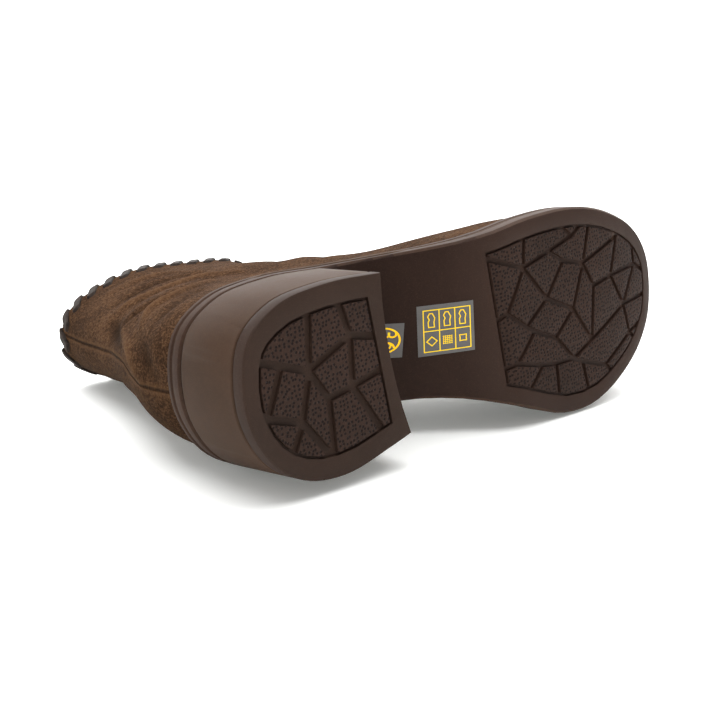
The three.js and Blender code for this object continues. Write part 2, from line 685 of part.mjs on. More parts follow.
const pieces = [
  { name: 'sole_unit', geometry: soleUnit(), material: RUBBER, density: RUBBER_DENSITY },
  { name: 'heel_block', geometry: heelBlock(), material: HEEL_RUBBER, density: RUBBER_DENSITY },
  { name: 'heel_top_piece', geometry: heelTopPiece(), material: RUBBER, density: RUBBER_DENSITY },
  { name: 'upper', geometry: upperShell(), material: SUEDE, density: LEATHER_DENSITY },
  { name: 'insole', geometry: insoleBoard(), material: BOARD, density: LEATHER_DENSITY },
  { name: 'collar_lace', geometry: collarLace(), material: LACE_LEATHER, density: LEATHER_DENSITY },
];

const LEAST_FACING = 0.5;

// The boot comes to rest on the hull facet under its centre of mass that faces most to the inner side
function restingFacet(allPieces) {
  const points = [];
  const centre = new THREE.Vector3();
  let mass = 0;
  for (const piece of allPieces) {
    const position = piece.geometry.attributes.position;
    for (let i = 0; i < position.count; i += 1) {
      points.push(new THREE.Vector3().fromBufferAttribute(position, i));
    }
    const part = massOf(piece.geometry);
    centre.addScaledVector(part.centre, part.volume * piece.density);
    mass += part.volume * piece.density;
  }
  centre.divideScalar(mass);
  const innerSide = new THREE.Vector3(0, 1, 0);
  const hull = new ConvexHull().setFromPoints(points);
  const under = hull.faces.filter((face) => {
    if (face.normal.dot(innerSide) < LEAST_FACING) return false;
    const foot = centre.clone().addScaledVector(face.normal, face.constant - face.normal.dot(centre));
    let edge = face.edge;
    do {
      const [tail, head] = [edge.tail().point, edge.head().point];
      const side = new THREE.Vector3().subVectors(head, tail);
      if (side.cross(new THREE.Vector3().subVectors(foot, tail)).dot(face.normal) < 0) return false;
      edge = edge.next;
    } while (edge !== face.edge);
    return true;
  });
  const facing = (face) => face.normal.dot(innerSide);
  return under.reduce((best, face) => (facing(face) > facing(best) ? face : best));
}

// Lying boot: Z is up from that facet, X follows the foot, and the box's bottom centre is the origin
const facet = restingFacet(pieces);
const up = facet.normal.clone().negate();
const ahead = new THREE.Vector3(1, 0, 0).addScaledVector(up, -up.x).normalize();
const aside = new THREE.Vector3().crossVectors(up, ahead);
const turn = new THREE.Matrix4().makeBasis(ahead, aside, up).transpose();

const boot = new THREE.Group();
boot.name = 'boot';
for (const piece of pieces) {
  const mesh = new THREE.Mesh(piece.geometry, piece.material);
  mesh.name = piece.name;
  boot.add(mesh);
}
boot.setRotationFromMatrix(turn);
const lying = new THREE.Box3();
for (const piece of pieces) {
  const turned = piece.geometry.clone().applyMatrix4(turn);
  lying.union(new THREE.Box3().setFromBufferAttribute(turned.attributes.position));
}
boot.position.set(-(lying.min.x + lying.max.x) / 2, -(lying.min.y + lying.max.y) / 2, -lying.min.z);

const group = new THREE.Group();
group.add(boot);

export default group;
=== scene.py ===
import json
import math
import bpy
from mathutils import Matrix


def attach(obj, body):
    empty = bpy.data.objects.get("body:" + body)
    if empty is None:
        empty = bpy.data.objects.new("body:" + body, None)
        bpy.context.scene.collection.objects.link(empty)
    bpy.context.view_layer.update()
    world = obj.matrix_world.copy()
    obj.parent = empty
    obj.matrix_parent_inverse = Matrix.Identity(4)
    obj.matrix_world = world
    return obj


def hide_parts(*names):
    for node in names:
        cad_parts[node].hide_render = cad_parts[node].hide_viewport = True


bl_info = {
    "name": "Ankle boot",
    "version": (1, 0, 0),
    "blender": (4, 5, 0),
    "location": "View3D > Sidebar > Boot",
    "description": "Dresses the packed ankle boot in suede, moulded rubber, lace and stickers",
    "category": "Object",
}

import bmesh
import bpy
from bpy.props import FloatProperty, FloatVectorProperty, PointerProperty
from mathutils import Matrix, Vector, noise
from mathutils.bvhtree import BVHTree
from mathutils.geometry import intersect_point_line

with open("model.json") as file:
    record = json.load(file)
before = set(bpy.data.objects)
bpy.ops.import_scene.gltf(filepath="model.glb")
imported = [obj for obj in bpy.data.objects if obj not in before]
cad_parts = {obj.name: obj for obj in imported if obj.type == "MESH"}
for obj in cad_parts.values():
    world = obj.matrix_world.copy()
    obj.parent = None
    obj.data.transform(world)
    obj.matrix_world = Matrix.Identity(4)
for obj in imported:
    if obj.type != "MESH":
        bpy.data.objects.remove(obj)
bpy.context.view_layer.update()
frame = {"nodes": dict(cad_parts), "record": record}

MM = 0.001
BODY = "root"
UP = Vector((0, 0, 1))

# Two points of the standing boot, in its own frame: X from heel to toe, Y to the inner side, Z up
HEEL_FACE = Vector((7, 0, 0)) * MM
FOREFOOT_FACE = Vector((160, -28, 0)) * MM

# Camera in the standing boot's frame, and its picture
CAMERA_PLACE = Vector((-186.09, -117.46, -303.36)) * MM
CAMERA_RIGHT = Vector((0.7335, 0.1926, -0.6518))
CAMERA_DOWN = Vector((-0.3260, 0.9412, -0.0887))
PICTURE_SIDE = 713
FOCAL_PIXELS = 1100
SENSOR = 36.0

# Slack folds, in millimetres: height of a ridge or depth of a trough, its half width, and its run
FOLDS = (
    (1.4, 2.9, ((31, -18, 137), (40, -22, 136), (48, -24, 130), (58, -26, 122), (72, -27, 121),
                (84, -26, 110))),
    (-1.6, 2.7, ((19, -20, 109), (21, -24, 103), (27, -28, 98), (36, -30, 94), (50, -30, 100),
                 (69, -27, 110))),
    (1.3, 2.6, ((13, -25, 79), (24, -28, 88), (34, -30, 87), (48, -30, 92), (62, -28, 99))),
    (-1.1, 4.0, ((11, -27, 64), (18, -30, 68), (28, -32, 70), (42, -31, 77))),
    (1.0, 3.2, ((49, -24, 167), (61, -26, 166), (69, -26, 163), (77, -26, 158), (81, -26, 140))),
    (-1.3, 3.2, ((39, -22, 147), (49, -24, 147), (61, -26, 146), (71, -26, 142), (77, -26, 132))),
    (-1.8, 4.5, ((29, -18, 135), (22, -16, 121), (13, -16, 100))),
    (1.2, 3.5, ((16, -20, 100), (9, -18, 85), (4, -13, 75), (2, -7, 68))),
    (-1.2, 4.0, ((11, -23, 79), (5, -20, 67), (3, -15, 61), (2, -9, 56))),
    (-1.2, 5.0, ((122, -20, 96), (134, -8, 92), (136, 8, 92), (122, 20, 96))),
    (0.8, 5.0, ((116, -24, 106), (130, -10, 103), (131, 10, 103), (116, 22, 106))),
    (-1.0, 4.5, ((112, -25, 118), (128, -10, 116), (128, 8, 116), (112, 20, 118))),
    (-1.0, 5.0, ((178, -18, 36), (170, 0, 48), (168, 16, 50), (176, 34, 40))),
    (0.8, 4.5, ((170, -20, 40), (160, 0, 53), (159, 16, 54), (166, 36, 42))),
)

# Half widths that a fold reaches, and the share of its run at either end where it stops fading
FOLD_REACH = 3
FOLD_END = 0.08

# Closed seam up the back of the boot, in millimetres, pulled over to the outer side by the slack
BACK_SEAM = (
    (3, -5, 52), (3, -6, 75), (8, -7, 89), (11, -9, 97), (19, -8, 121), (24, -7, 146),
    (26, -7, 166), (29, -8, 188),
)

# Half width and depth of the seam's dip
SEAM_HALF = 1.6 * MM
SEAM_DIP = 0.5 * MM

# Distances from the seam's middle: where its gap fades out and is full, and the same of its lips
GAP_EDGE, GAP_FULL = 0.9 * MM, 0.1 * MM
LIP_EDGE, LIP_FULL = 2.8 * MM, 1.1 * MM

# Distances from the back of the heel between which the seam's mark ends
SEAM_FRONT = 50 * MM, 60 * MM

# Soft unevenness of the suede, and the calm stretch below the rim
SWELL_PITCH = 22 * MM
RIM_STILL = 7 * MM

# Pitches of the suede's clouds, brushed strokes and nap
CLOUD_PITCH = 24 * MM
STROKE_PITCH = 3.5 * MM
NAP_PITCH = 1.1 * MM

# Stretch from the outer to the inner side over which painted shade darkens the suede, where the inner
# side of the lying boot faces the floor
SHADED_SIDE = -16 * MM, 4 * MM

# Moulded pieces: a tile's longest span, a groove wall's largest area, and the lean of a side face
TILE_SPAN = 50 * MM
GROOVE_WALL = 20 * MM * MM
SIDE_LEAN = 0.6
RAY_START = 0.1 * MM

# Bead round the sole: its place up the side, its points, its radius and its own sides
BEAD_HEIGHT = 0.62
BEAD_POINTS = 200
BEAD_RADIUS = 0.5 * MM
BEAD_SIDES = 8

# Middle of the sole in plan, and the distances from which rays look for its side and underside
SOLE_MIDDLE = Vector((120, 8, 0)) * MM
RAY_ASIDE = 300 * MM
RAY_BELOW = 100 * MM
SIDE_START = 20 * MM
SIDE_DEPTH = 4 * MM
SIDE_TRIES = 6

# Lace: how far its skin is swelled before it is laid on the suede, and the rounding of its edges
LACE_SWELL = 0.45 * MM
LACE_EDGE = 0.28 * MM

# Corners of the stickers under the waist, in millimetres in plan, in the order of their pictures' corners
PICTURE_STICKER = ((106.3, -7.2), (124.8, -5.2), (122.5, 15.7), (103.9, 14.1))
SIZE_STICKER = ((86.9, -4.5), (101.6, -1.5), (98.7, 12.6), (84.0, 9.6))
STICKER_STEPS = 14
STROKE_STEPS = 8
FILM_LIFT, FILM_DEPTH = 0.16 * MM, 0.1 * MM
PRINT_LIFT, PRINT_DEPTH = 0.28 * MM, 0.03 * MM

# Print, in shares of a sticker's side: the frame's left, right, top and bottom, and a cell's signs
PRINT_FRAME = (0.11, 0.93, 0.1, 0.92)
PICTURE_LINE = 0.018
SOLE_SIGN = (
    (-0.05, 0.13), (-0.055, 0.03), (-0.035, -0.02), (-0.06, -0.08), (-0.03, -0.14),
    (0.02, -0.14), (0.06, -0.05), (0.045, 0.03), (0.05, 0.13),
)
DIAMOND_REACH = 0.09
WEAVE_REACH, WEAVE_STEP = 0.08, 0.036
STAR_REACH = (0.055, 0.085)

# The ring round the size number, and the two figures in it
RING_MIDDLE = (0.56, 0.49)
RING_RADIUS = 0.36
SIZE_LINE = 0.045
FIGURE_RADIUS = 0.085
THREE_ACROSS, THREE_DOWN = (0.59, 0.75), 0.31
SIX_MIDDLE = (0.64, 0.64)

# Stage: floor and backdrop in metres, and the lights' name, place, side in metres and power in watts
FLOOR_HALF = 4
BACKDROP_HALF = 0.75
BACKDROP_STRETCH = 4
BACKDROP_ALONG = Vector((-0.76, 0.65, 0))
BACKDROP_MIDDLE = Vector((0.85, 1.0, 0.75))
LIGHTS = (
    ("top_light", Vector((0.1, 0.2, 1.3)), 2.0, 46),
    ("side_light", Vector((-1.1, 0.3, 0.7)), 0.8, 1.5),
)
WORLD_STRENGTH = 0.42


def srgb(red, green, blue):
    """A colour from 0 to 255 as the linear colour that the shader takes."""
    def linear(value):
        share = value / 255
        return share / 12.92 if share <= 0.04045 else ((share + 0.055) / 1.055) ** 2.4
    return (linear(red), linear(green), linear(blue))


# Shades that go with the colours of the sidebar
# Painted shade for the back seam's gap
SEAM_SHADE = srgb(24, 14, 8)
LINING_STAIN = srgb(92, 68, 47)
LACE_DARK, LACE_WORN = srgb(30, 24, 21), srgb(80, 69, 62)
SOLE_DARK, HEEL_DARK = srgb(41, 26, 20), srgb(58, 42, 31)
TREAD, TREAD_DARK = srgb(46, 30, 24), srgb(37, 24, 19)
# The rand's colours are a lighter copy of the sole rubber: painted light on the sole's side faces and
# grooves' walls
RAND, RAND_DARK = srgb(66, 47, 36), srgb(54, 38, 29)
TOP_PIECE, TOP_PIECE_DARK = srgb(45, 31, 24), srgb(37, 25, 19)
# The bead's colours are painted highlight, lighter than the rand it runs along
BEAD, BEAD_DARK = srgb(84, 66, 54), srgb(70, 54, 44)
# PIT_SHADE is painted shade in the tread's pits
DUST, WORN, PIT_SHADE = srgb(128, 104, 88), srgb(98, 78, 67), srgb(24, 15, 12)
INSOLE, INSOLE_DARK = srgb(120, 92, 66), srgb(96, 72, 50)
FILM, FILM_DARK = srgb(96, 93, 91), srgb(84, 82, 81)
INK, INK_DARK = srgb(248, 210, 8), srgb(238, 198, 6)
FLOOR_PALE, FLOOR_GLOW = (0.95, 0.955, 0.945, 1), (0.96, 1, 0.96, 1)
WHITE = (1, 1, 1, 1)


class BootSizes(bpy.types.PropertyGroup):
    """Sizes that a user may change before the pieces are made."""

    wall: FloatProperty(
        name="Wall", description="Thickness of suede and lining", default=2.2 * MM, unit="LENGTH",
    )
    fold_share: FloatProperty(
        name="Folds", description="Strength of the slack folds", default=1.5, min=0, subtype="FACTOR",
    )
    swell: FloatProperty(
        name="Unevenness", description="Height of soft unevenness", default=0.5 * MM, unit="LENGTH",
    )
    edge_round: FloatProperty(
        name="Edges", description="Rounding of moulded edges", default=0.25 * MM, unit="LENGTH",
    )
    lace_stand: FloatProperty(
        name="Lace", description="How far the lace stands off the suede, as a share of the frame's solid",
        default=0.5, min=0.3, max=1, subtype="FACTOR",
    )
    pit_pitch: FloatProperty(
        name="Pits", description="Pitch of the pits in the tread", default=1.8 * MM, unit="LENGTH",
    )


class BootColours(bpy.types.PropertyGroup):
    """Colours that a user may change before the pieces are made."""

    # The dark suede colour also serves as painted shade in the fold troughs and on the inner side, and
    # the light one as painted highlight on the fold ridges and the seam's lips
    suede_light: FloatVectorProperty(
        name="Suede, light", description="Brushed nap", default=srgb(100, 72, 49), subtype="COLOR",
    )
    suede_mid: FloatVectorProperty(
        name="Suede, middle", description="Suede", default=srgb(56, 38, 25), subtype="COLOR",
    )
    suede_dark: FloatVectorProperty(
        name="Suede, dark", description="Pressed nap", default=srgb(32, 21, 13), subtype="COLOR",
    )
    sole: FloatVectorProperty(
        name="Sole", description="Matt sole rubber", default=srgb(47, 31, 24), subtype="COLOR",
    )
    heel: FloatVectorProperty(
        name="Heel", description="Satin heel rubber", default=srgb(66, 48, 36), subtype="COLOR",
    )
    lace: FloatVectorProperty(
        name="Lace", description="Flat leather lace", default=srgb(54, 43, 36), subtype="COLOR",
    )
    lining: FloatVectorProperty(
        name="Lining", description="Leather lining", default=srgb(120, 92, 66), subtype="COLOR",
    )


def shoe_to_part():
    """The matrix that lays the standing boot down as the frame holds it, from its two ground faces."""
    mounts = {mount["name"]: mount for mount in frame["record"]["mounts"]}
    heel = Vector(mounts["heel_ground_face"]["pos_m"])
    ball = Vector(mounts["forefoot_ground_face"]["pos_m"])
    up = -Vector(mounts["heel_ground_face"]["axis"]).normalized()
    run = (ball - heel).normalized()
    across = up.cross(run)
    step = (FOREFOOT_FACE - HEEL_FACE).normalized()
    ahead = run * step.x - across * step.y
    inward = up.cross(ahead)
    turn = Matrix((ahead, inward, up)).transposed().to_4x4()
    return Matrix.Translation(heel - turn @ HEEL_FACE) @ turn


LAY_DOWN = shoe_to_part()
STAND_UP = LAY_DOWN.inverted()


class Socket:
    """An output of a shader node, with the arithmetic that adds Math nodes."""

    def __init__(self, finish, output):
        self.finish = finish
        self.output = output

    def math(self, operation, *values):
        """Adds a Math node on the values."""
        return self.finish.node("ShaderNodeMath", {"operation": operation}, dict(enumerate(values)))

    def __add__(self, other):
        return self.math("ADD", self, other)

    def __radd__(self, other):
        return self.math("ADD", other, self)

    def __sub__(self, other):
        return self.math("SUBTRACT", self, other)

    def __rsub__(self, other):
        return self.math("SUBTRACT", other, self)

    def __mul__(self, other):
        return self.math("MULTIPLY", self, other)

    def __rmul__(self, other):
        return self.math("MULTIPLY", other, self)

    def __abs__(self):
        return self.math("ABSOLUTE", self)


class Finish:
    """A material made of nodes, read in the standing boot's frame."""

    def __init__(self, name):
        self.material = bpy.data.materials.new(name)
        self.material.use_nodes = True
        self.tree = self.material.node_tree
        self.tree.nodes.clear()
        place = self.node("ShaderNodeTexCoord", output="Object")
        location, rotation, _ = STAND_UP.decompose()
        self.place = self.node("ShaderNodeMapping", inputs={
            "Vector": place, "Location": location, "Rotation": rotation.to_euler(),
        })

    def node(self, kind, settings=None, inputs=None, output=0):
        """Adds a node: its settings first, then the values or links of its sockets."""
        made = self.tree.nodes.new(kind)
        for key, value in (settings or {}).items():
            if key == "stops":
                self.set_stops(made.color_ramp, value)
            else:
                setattr(made, key, value)
        for key, value in (inputs or {}).items():
            if isinstance(value, Socket):
                self.tree.links.new(value.output, made.inputs[key])
            else:
                made.inputs[key].default_value = value
        return Socket(self, made.outputs[output]) if made.outputs else None

    def set_stops(self, ramp, stops):
        """Gives a ramp its stops, each a position and a colour, joined by a smooth curve."""
        ramp.interpolation = "CARDINAL"
        while len(ramp.elements) < len(stops):
            ramp.elements.new(0.5)
        for stop, (position, colour) in zip(ramp.elements, stops):
            stop.position = position
            stop.color = (*colour, 1)

    def along(self, axis):
        """The place's distance along one axis of the standing boot."""
        return self.node("ShaderNodeSeparateXYZ", inputs={"Vector": self.place}, output=axis)

    def noise(self, pitch, detail=3, roughness=0.5):
        """Noise whose clouds are about pitch wide."""
        return self.node("ShaderNodeTexNoise", inputs={
            "Vector": self.place, "Scale": 1 / pitch, "Detail": detail, "Roughness": roughness,
        })

    def spread(self, value, low, high):
        """Maps low to high of a value onto 0 to 1, and holds it there."""
        return self.node("ShaderNodeMapRange", {"clamp": True}, {
            "Value": value, "From Min": low, "From Max": high,
        })

    def mix(self, share, first, second):
        """A colour between two colours."""
        colours = [c if isinstance(c, Socket) else (*c, 1) for c in (first, second)]
        return self.node("ShaderNodeMix", {"data_type": "RGBA"}, {
            0: share, 6: colours[0], 7: colours[1],
        }, output=2)

    def bump(self, height, depth, strength=1.0, normal=None):
        """A bump whose full height is depth."""
        inputs = {"Height": height, "Distance": depth, "Strength": strength}
        if normal:
            inputs["Normal"] = normal
        return self.node("ShaderNodeBump", inputs=inputs)

    def finish(self, **sockets):
        """Adds the surface shader and its output, and gives the material."""
        inputs = {key.replace("_", " "): value for key, value in sockets.items()}
        shader = self.node("ShaderNodeBsdfPrincipled", inputs=inputs)
        self.node("ShaderNodeOutputMaterial", inputs={"Surface": shader})
        return self.material


def back_seam_distance(suede):
    """Distance from the closed seam up the back, whose way across is a ramp over the height."""
    low, high = BACK_SEAM[0][2] * MM, BACK_SEAM[-1][2] * MM
    sides = [across * MM for _, across, _ in BACK_SEAM]
    reach = max(sides) - min(sides)
    stops = [((height * MM - low) / (high - low), ((across - min(sides)) / reach,) * 3)
             for (_, _, height), across in zip(BACK_SEAM, sides)]
    share = suede.spread(suede.along("Z"), low, high)
    line = suede.node("ShaderNodeValToRGB", {"stops": stops}, {"Fac": share}) * reach + min(sides)
    front = suede.spread(suede.along("X"), *SEAM_FRONT)
    return abs(suede.along("Y") - line) + front


def suede_finish(colours):
    """Napped suede: clouds, strokes and nap, with painted shade in the fold troughs, on the inner side
    and in the back seam's gap, and painted highlight on the fold ridges and the seam's lips.
    """
    suede = Finish("suede")
    light, middle, dark = (tuple(c) for c in (colours.suede_light, colours.suede_mid, colours.suede_dark))
    lift = suede.node("ShaderNodeAttribute", {"attribute_name": "lift"}, output="Fac")
    seam = back_seam_distance(suede)
    gap = suede.spread(seam, GAP_EDGE, GAP_FULL)
    lips = suede.spread(seam, LIP_EDGE, LIP_FULL) - gap
    clouds = suede.noise(CLOUD_PITCH, roughness=0.6)
    strokes = suede.noise(STROKE_PITCH, roughness=0.6)
    nap = suede.noise(NAP_PITCH, roughness=0.85)
    brushed = clouds * 0.4 + strokes * 0.25 + nap * 1.35
    shade = suede.mix(suede.spread(brushed, 0.7, 0.98), dark, middle)
    base = suede.mix(suede.spread(brushed, 0.94, 1.3), shade, light)
    # Painted shade: the suede darkens towards its dark colour in the fold troughs, where the lift is
    # below zero
    trough = suede.mix(suede.spread(lift, -0.2, -2.2) * 0.8, base, dark)
    # Painted shade on the inner side, which faces the floor as the boot lies
    shaded = suede.mix(suede.spread(suede.along("Y"), *SHADED_SIDE) * 0.35, trough, dark)
    # Painted highlight: the suede lightens on the fold ridges and on the back seam's lips
    ridge = suede.mix(suede.spread(lift, 0.2, 2.2) * 0.7 + lips * 0.35, shaded, light)
    # Painted shade in the back seam's gap
    colour = suede.mix(gap * 0.55, ridge, SEAM_SHADE)
    coarse = suede.bump(strokes, 0.8 * MM, 0.7)
    fine = suede.bump(nap, 0.6 * MM, 1.0, coarse)
    sewn = suede.bump(lips - gap, 0.5 * MM, 1.0, fine)
    return suede.finish(Base_Color=colour, Roughness=0.95, Normal=sewn, Sheen_Weight=0.02,
                        Sheen_Roughness=0.5, Sheen_Tint=(0.8, 0.6, 0.45, 1), Specular_IOR_Level=0.03)


def lining_finish(colours):
    """Smooth leather lining with broad stains and a fine grain."""
    lining = Finish("lining")
    grain = lining.noise(1.4 * MM, detail=4)
    stain = lining.noise(30 * MM)
    colour = lining.mix(lining.spread(stain, 0.35, 0.7), tuple(colours.lining), LINING_STAIN)
    return lining.finish(Base_Color=colour, Roughness=lining.spread(grain, 0.2, 0.9) * 0.2 + 0.62,
                         Normal=lining.bump(grain, 0.12 * MM, 0.5))


def rubber_finish(name, colour, dark, roughness, gloss=0.12, pits=0.0):
    """Moulded rubber, with the fine pits of the tread's tiles, darkened by painted shade, where their
    pitch is given.
    """
    rubber = Finish(name)
    clouds = rubber.noise(35 * MM, detail=4)
    mottle = rubber.noise(2.2 * MM)
    grain = rubber.noise(0.35 * MM, detail=2)
    tone = rubber.mix(rubber.spread(clouds * 0.7 + mottle * 0.3, 0.38, 0.62), dark, colour)
    dusty = rubber.mix(rubber.spread(grain, 0.55, 0.8) * 0.12, tone, DUST)
    surface = rubber.mix(rubber.spread(rubber.along("Z"), 12 * MM, 3 * MM) * 0.12, dusty, WORN)
    normal = rubber.bump(grain, 0.05 * MM, 0.5)
    if pits:
        cells = rubber.node("ShaderNodeTexVoronoi", {"voronoi_dimensions": "2D", "feature": "F1"}, {
            "Vector": rubber.place, "Scale": 1 / pits, "Randomness": 0.6,
        }, output="Distance")
        pit = 1 - rubber.spread(cells, 0.17, 0.38)
        normal = rubber.bump(pit, -0.35 * MM, 1.0, normal)
        # Painted shade in the pits
        surface = rubber.mix(pit * 0.85, surface, PIT_SHADE)
    return rubber.finish(Base_Color=surface, Roughness=mottle * 0.12 + roughness, Normal=normal,
                         Specular_IOR_Level=gloss)


def lace_finish(colours):
    """Dull flat leather with streaks and worn grain."""
    lace = Finish("lace_leather")
    streaks = lace.noise(2.4 * MM, detail=4, roughness=0.6)
    grain = lace.noise(0.5 * MM)
    colour = lace.mix(lace.spread(streaks, 0.3, 0.72), LACE_DARK, tuple(colours.lace))
    edge = lace.mix(lace.spread(grain, 0.55, 0.8) * 0.3, colour, LACE_WORN)
    return lace.finish(Base_Color=edge, Roughness=0.62, Normal=lace.bump(grain, 0.12 * MM, 0.6),
                       Specular_IOR_Level=0.1)


def plain_finish(name, colour, other, roughness, glow=0.0):
    """One soft mottled tone, for the insole's cover, the stickers' film and their ink; a glow, where
    given, is painted light.
    """
    plain = Finish(name)
    grain = plain.noise(0.8 * MM)
    mottle = plain.noise(5 * MM)
    return plain.finish(Base_Color=plain.mix(plain.spread(mottle, 0.3, 0.7) * 0.6, colour, other),
                        Roughness=roughness, Normal=plain.bump(grain, 0.03 * MM, 0.4),
                        Emission_Color=(*colour, 1), Emission_Strength=glow)


def standing_copy(node):
    """A welded copy of a node's mesh, stood up in the boot's own frame."""
    bm = bmesh.new()
    bm.from_mesh(frame["nodes"][node].data)
    bmesh.ops.remove_doubles(bm, verts=bm.verts, dist=0.002 * MM)
    bmesh.ops.transform(bm, matrix=STAND_UP, verts=bm.verts)
    return bm


def node_tree(node):
    """A search tree of a node's mesh, stood up in the boot's own frame."""
    bm = standing_copy(node)
    tree = BVHTree.FromBMesh(bm)
    bm.free()
    return tree


def piece_tree(name):
    """A search tree of a finished piece with its modifiers, stood up in the boot's own frame."""
    piece = bpy.data.objects[name].evaluated_get(bpy.context.evaluated_depsgraph_get())
    bm = bmesh.new()
    bm.from_mesh(piece.to_mesh())
    bmesh.ops.transform(bm, matrix=STAND_UP, verts=bm.verts)
    tree = BVHTree.FromBMesh(bm)
    bm.free()
    return tree


def smooth(bm):
    """Shades every face smooth."""
    for face in bm.faces:
        face.smooth = True


def to_object(bm, name, materials):
    """Makes a mesh an object of the scene, and uses it up."""
    mesh = bpy.data.meshes.new(name)
    bm.to_mesh(mesh)
    bm.free()
    for material in materials:
        mesh.materials.append(material)
    made = bpy.data.objects.new(name, mesh)
    bpy.context.scene.collection.objects.link(made)
    return made


def add_piece(bm, name, materials, replaces=()):
    """Lays a standing mesh down, and makes it a piece that rides on the boot."""
    bmesh.ops.transform(bm, matrix=LAY_DOWN, verts=bm.verts)
    piece = to_object(bm, name, materials)
    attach(piece, BODY)
    if replaces:
        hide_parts(*replaces)
    return piece


def subdivided(bm, levels):
    """The mesh rounded by that many levels of subdivision."""
    work = to_object(bm, "work", [])
    modifier = work.modifiers.new("round", "SUBSURF")
    modifier.levels = levels
    modifier.render_levels = levels
    made = work.evaluated_get(bpy.context.evaluated_depsgraph_get()).to_mesh()
    result = bmesh.new()
    result.from_mesh(made)
    bpy.data.meshes.remove(work.data)
    return result


def quads(bm, degrees):
    """Joins pairs of triangles whose faces and shapes differ by less than an angle."""
    angle = math.radians(degrees)
    bmesh.ops.join_triangles(bm, faces=bm.faces, angle_face_threshold=angle, angle_shape_threshold=angle)


def keep_outside(bm):
    """Deletes what a walk over the faces from the toe can't reach without crossing a sharp edge."""
    sharp = math.radians(62)
    toe = max(bm.faces, key=lambda face: face.calc_center_median().x)
    reached = {toe}
    todo = [toe]
    while todo:
        face = todo.pop()
        for edge in face.edges:
            if len(edge.link_faces) != 2 or edge.calc_face_angle() > sharp:
                continue
            for other in edge.link_faces:
                if other not in reached:
                    reached.add(other)
                    todo.append(other)
    bmesh.ops.delete(bm, geom=[face for face in bm.faces if face not in reached], context="FACES")


def run_distance(point, run):
    """Distance from a point to a run of points, and how far along the run that is, from 0 to 1."""
    best = (math.inf, 0)
    for i in range(len(run) - 1):
        _, share = intersect_point_line(point, run[i], run[i + 1])
        share = min(max(share, 0), 1)
        gap = (point - run[i].lerp(run[i + 1], share)).length
        best = min(best, (gap, (i + share) / (len(run) - 1)))
    return best


def fold_height(point, folds):
    """How far the slack folds lift the suede at a point."""
    height = 0
    for peak, half_width, run in folds:
        gap, share = run_distance(point, run)
        if gap < FOLD_REACH * half_width:
            fade = math.sin(math.pi * min(max(share, FOLD_END), 1 - FOLD_END)) ** 0.5
            height += peak * fade * math.exp(-((gap / half_width) ** 2))
    return height


class BOOT_OT_upper(bpy.types.Operator):
    """Makes the suede upper with its lining, folds and back seam"""

    bl_idname = "boot.upper"
    bl_label = "Suede upper"

    def execute(self, context):
        sizes = context.scene.boot_sizes
        colours = context.scene.boot_colours
        bm = standing_copy("upper")
        keep_outside(bm)
        quads(bm, 70)
        bm = subdivided(bm, 2)
        self.fold(bm, sizes)
        smooth(bm)
        finishes = [suede_finish(colours), lining_finish(colours)]
        piece = add_piece(bm, "suede_upper", finishes, ["upper"])
        wall = piece.modifiers.new("wall", "SOLIDIFY")
        wall.thickness = sizes.wall
        wall.offset = -1
        wall.material_offset = 1
        return {"FINISHED"}

    def fold(self, bm, sizes):
        """Lifts and sinks the suede by its folds, its unevenness and its seam, calm near the rim."""
        folds = [(peak * MM * sizes.fold_share, half * MM, [Vector(p) * MM for p in run])
                 for peak, half, run in FOLDS]
        seam_run = [Vector(p) * MM for p in BACK_SEAM]
        lift = bm.verts.layers.float.new("lift")
        bm.normal_update()
        rim = max(vert.co.z for vert in bm.verts)
        moves = []
        for vert in bm.verts:
            calm = min(max((rim - vert.co.z - RIM_STILL) / RIM_STILL, 0), 1)
            height = fold_height(vert.co, folds)
            height = calm * (height + sizes.swell * noise.noise(vert.co / SWELL_PITCH))
            gap, _ = run_distance(vert.co, seam_run)
            # The stored fold height also drives the suede's painted shade in the troughs and painted
            # highlight on the ridges
            vert[lift] = height / MM
            moves.append(vert.normal * (height - SEAM_DIP * math.exp(-((gap / SEAM_HALF) ** 2))))
        for vert, move in zip(bm.verts, moves):
            vert.co += move


def mark_tiles(bm, index):
    """Gives the raised tiles another material: small flats that face down, with convex rims."""
    down = -0.8
    steep = math.radians(50)
    left = {face for face in bm.faces if face.normal.z < down}
    while left:
        todo = [left.pop()]
        flat = []
        while todo:
            face = todo.pop()
            flat.append(face)
            for edge in face.edges:
                for other in edge.link_faces:
                    if other in left and edge.calc_face_angle() < steep:
                        left.remove(other)
                        todo.append(other)
        reach = [vert.co.x for face in flat for vert in face.verts]
        rim = [edge for face in flat for edge in face.edges if edge.calc_face_angle() > steep]
        if max(reach) - min(reach) < TILE_SPAN and all(edge.is_convex for edge in rim):
            for face in flat:
                face.material_index = index


def mark_side(bm, index):
    """Gives the outer faces that see nothing more of the sole, and grooves' walls, another material: a
    lighter copy of the sole rubber, painted light.
    """
    skin = BVHTree.FromBMesh(bm)
    for face in bm.faces:
        start = face.calc_center_median() + face.normal * RAY_START
        if abs(face.normal.z) < SIDE_LEAN and skin.ray_cast(start, face.normal)[0] is None:
            face.material_index = index
            for edge in face.edges:
                for other in edge.link_faces:
                    if other.calc_area() < GROOVE_WALL:
                        other.material_index = index


